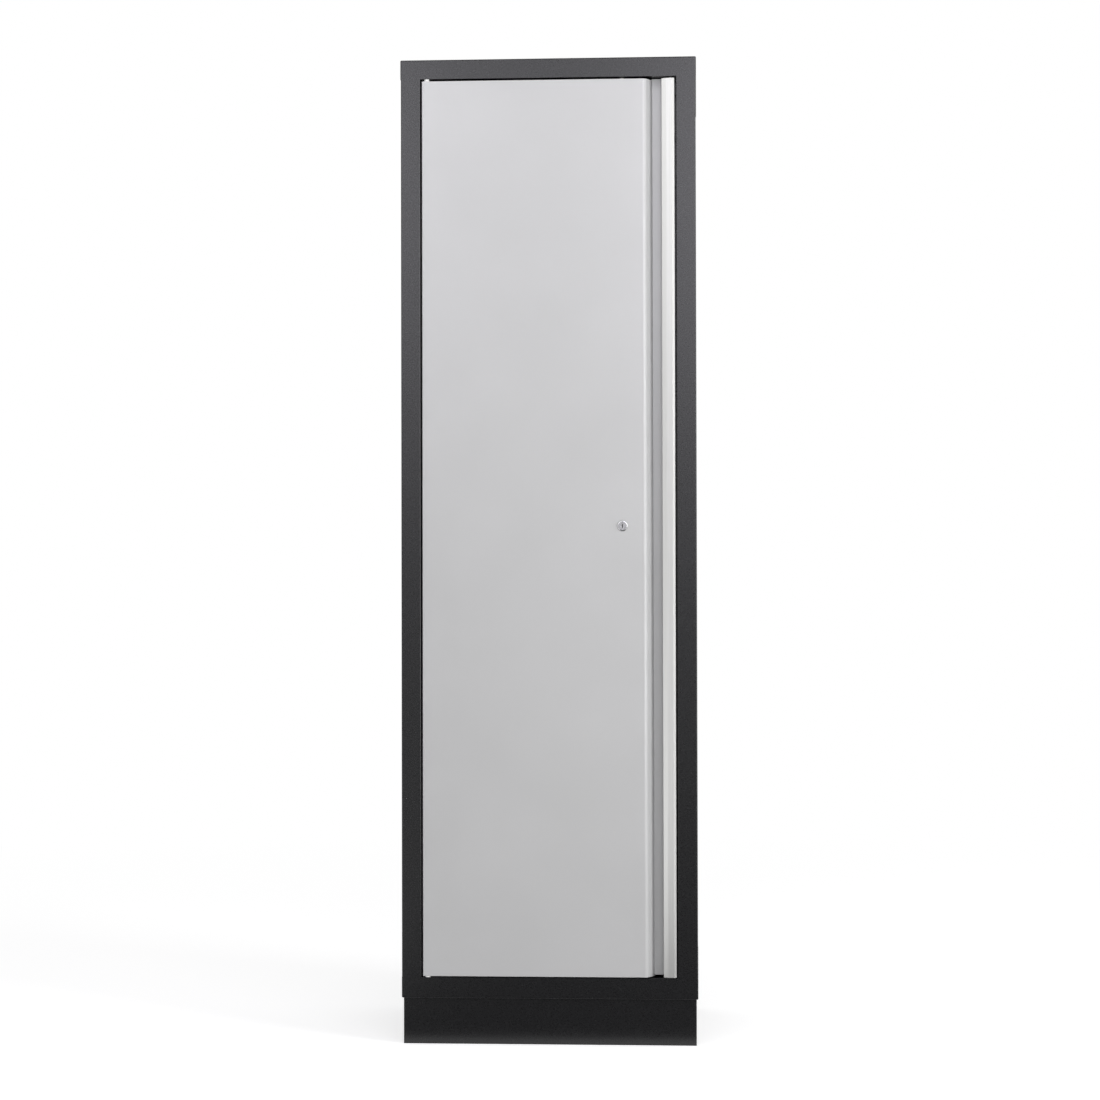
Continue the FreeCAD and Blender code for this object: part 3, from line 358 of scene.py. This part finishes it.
def reflector(name, corners, axis, stops, tint=PLAIN):
    """A card that only reflections meet. Each stop is a place along one axis and the glow there."""
    card, tree = flat_card(name, corners)
    split = tree.nodes.new("ShaderNodeSeparateXYZ")
    tree.links.new(tree.nodes.new("ShaderNodeTexCoord").outputs["Object"], split.inputs[0])
    start, end = stops[0][0], stops[-1][0]
    peak = max(level for _, level in stops)
    ramp = tree.nodes.new("ShaderNodeValToRGB")
    along = ranged(tree, split.outputs[axis], low=0.0, high=1.0, start=start, end=end)
    tree.links.new(along, ramp.inputs["Fac"])
    marks = ramp.color_ramp.elements
    for place, _ in stops[1:-1]:
        marks.new((place - start) / (end - start))
    for mark, (_, level) in zip(marks, stops):
        mark.color = (*(level / peak * part for part in tint), 1.0)
    glow = tree.nodes.new("ShaderNodeEmission")
    glow.inputs["Strength"].default_value = peak
    tree.links.new(ramp.outputs["Color"], glow.inputs["Color"])
    out = tree.nodes.new("ShaderNodeOutputMaterial")
    tree.links.new(glow.outputs[0], out.inputs["Surface"])
    card.visible_camera = False
    card.visible_diffuse = False
    card.visible_transmission = False
    card.visible_shadow = False


def upright_card(name, depth, left, right, stops, tint=PLAIN):
    """A reflector that stands across the view at a depth, as high as its stops reach."""
    low, high = stops[0][0], stops[-1][0]
    corners = [(left, depth, low), (right, depth, low), (right, depth, high), (left, depth, high)]
    reflector(name, corners, "Z", stops, tint)


def flank_card(name, side, near, far, stops):
    """A reflector that stands along the view at one side, as high as its stops reach."""
    low, high = stops[0][0], stops[-1][0]
    corners = [(side, far, low), (side, near, low), (side, near, high), (side, far, high)]
    reflector(name, corners, "Z", stops)


def softbox(name, place, aim, width, height, power, tint):
    """A rectangular lamp that looks at a point. Its light is matte only: the cards are what is mirrored."""
    lamp = bpy.data.lights.new(name, "AREA")
    lamp.shape = "RECTANGLE"
    lamp.size = width
    lamp.size_y = height
    lamp.energy = power
    lamp.color = tint
    holder = bpy.data.objects.new(name, lamp)
    holder.visible_glossy = False
    bpy.context.collection.objects.link(holder)
    holder.location = place
    across, inward, upward = (there - here for here, there in zip(place, aim))
    tilt = math.atan2(math.hypot(across, inward), -upward)
    holder.rotation_euler = (tilt, 0.0, math.atan2(-across, inward))


studio_world(fill=0.45)
studio_floor(half=30.0, drop=0.0005, grey=0.85, lift=0.56, near=1.5, far=4.0)

# Dark cards on the floor and behind the camera, which the lower part of the frame mirrors
FLOOR_CARD_Z = 0.002
FLOOR_NEAR = FACE_Y - 0.05
FLOOR_MIDDLE = FACE_Y - 2.0
WALL_Y = FACE_Y - 5.6
FLOOR_EDGE = [(-0.43, FLOOR_NEAR), (-0.55, FLOOR_MIDDLE), (-1.8, WALL_Y), (3.2, WALL_Y), (0.9, FLOOR_NEAR)]
FLOOR_GLOW = [(WALL_Y, 0.14), (FLOOR_NEAR, 0.02)]
WALL_GLOW = [(0.0, 0.08), (0.45, 0.14), (0.9, 0.28), (1.3, 0.55), (5.5, 0.6)]
reflector("card_floor", [(x, y, FLOOR_CARD_Z) for x, y in FLOOR_EDGE], "Y", FLOOR_GLOW)
upright_card("card_wall", WALL_Y, left=-2.0, right=3.2, stops=WALL_GLOW)

# Bright cards that the upper part of the frame mirrors. They fade above 3.4 m, or the cabinet's top would
# mirror them when it is seen from behind.
UPPER_Y = FACE_Y - 5.55
UPPER_GLOW = [(1.0, 0.3), (1.3, 0.6), (1.7, 2.1), (2.1, 4.9), (2.5, 6.5), (3.0, 7.0), (3.4, 6.6), (3.9, 1.4),
              (5.5, 0.9)]
upright_card("card_upper_left", UPPER_Y, left=-2.0, right=-0.9, stops=UPPER_GLOW, tint=COOL)
upright_card("card_upper_right", UPPER_Y, left=0.2, right=3.2, stops=UPPER_GLOW, tint=COOL)

# Cards at the sides: card_side, card_low and card_right for the grip, card_strip for the door's rolled bend
SIDES_Y = FACE_Y - 3.0
SIDE_GLOW = [(0.4, 0.95), (0.7, 0.75), (1.4, 0.75), (1.9, 1.3), (2.5, 2.5), (4.5, 2.5)]
LOW_GLOW = [(0.0, 2.8), (0.5, 1.5), (1.2, 0.9)]
STRIP_GLOW = [(0.0, 6.0), (1.9, 6.5), (2.4, 4.5), (2.7, 1.0)]
RIGHT_GLOW = [(0.9, 1.0), (1.6, 1.3), (2.3, 2.6), (2.9, 2.6)]
upright_card("card_side", SIDES_Y, left=-3.6, right=-1.4, stops=SIDE_GLOW)
flank_card("card_low", side=-0.85, near=FACE_Y - 0.8, far=FACE_Y - 2.0, stops=LOW_GLOW)
upright_card("card_strip", SIDES_Y, left=1.5, right=3.3, stops=STRIP_GLOW)
flank_card("card_right", side=2.9, near=FACE_Y - 0.4, far=FACE_Y - 1.8, stops=RIGHT_GLOW)

# Lamps, aimed at the middle of the front
MIDDLE = (0.0, FACE_Y, HEIGHT / 2)
OVER = (0.0, FACE_Y - 1.5, 3.0)
FRONT = (0.3, FACE_Y - 5.2, 0.8)
RIGHT = (5.75, FACE_Y - 3.65, 1.4)
softbox("softbox_over", OVER, MIDDLE, width=1.6, height=0.8, power=14.0, tint=COOL)
softbox("softbox_front", FRONT, MIDDLE, width=2.0, height=1.6, power=40.0, tint=PLAIN)
softbox("softbox_right", RIGHT, MIDDLE, width=1.8, height=2.4, power=262.0, tint=PLAIN)


# Camera at the photograph's viewing angle, from points measured in its 1100 by 1100 frame

FRAME_PIXELS = 1100
FOCAL_PIXELS = 2472.0
SENSOR_MM = 36.0
CAMERA_PLACE = (0.3011, FACE_Y - 5.0, 0.9329)
LOOK_UP = 0.0135
LEAN = 0.0022
LOOK_LEFT = 0.0596
camera_data = bpy.data.cameras.new("camera")
camera_data.sensor_width = SENSOR_MM
camera_data.lens = FOCAL_PIXELS / FRAME_PIXELS * SENSOR_MM
camera = bpy.data.objects.new("camera", camera_data)
bpy.context.collection.objects.link(camera)
camera.location = CAMERA_PLACE
camera.rotation_euler = (math.pi / 2 + LOOK_UP, LEAN, LOOK_LEFT)
bpy.context.scene.camera = camera
bpy.context.scene.view_settings.view_transform = "Standard"
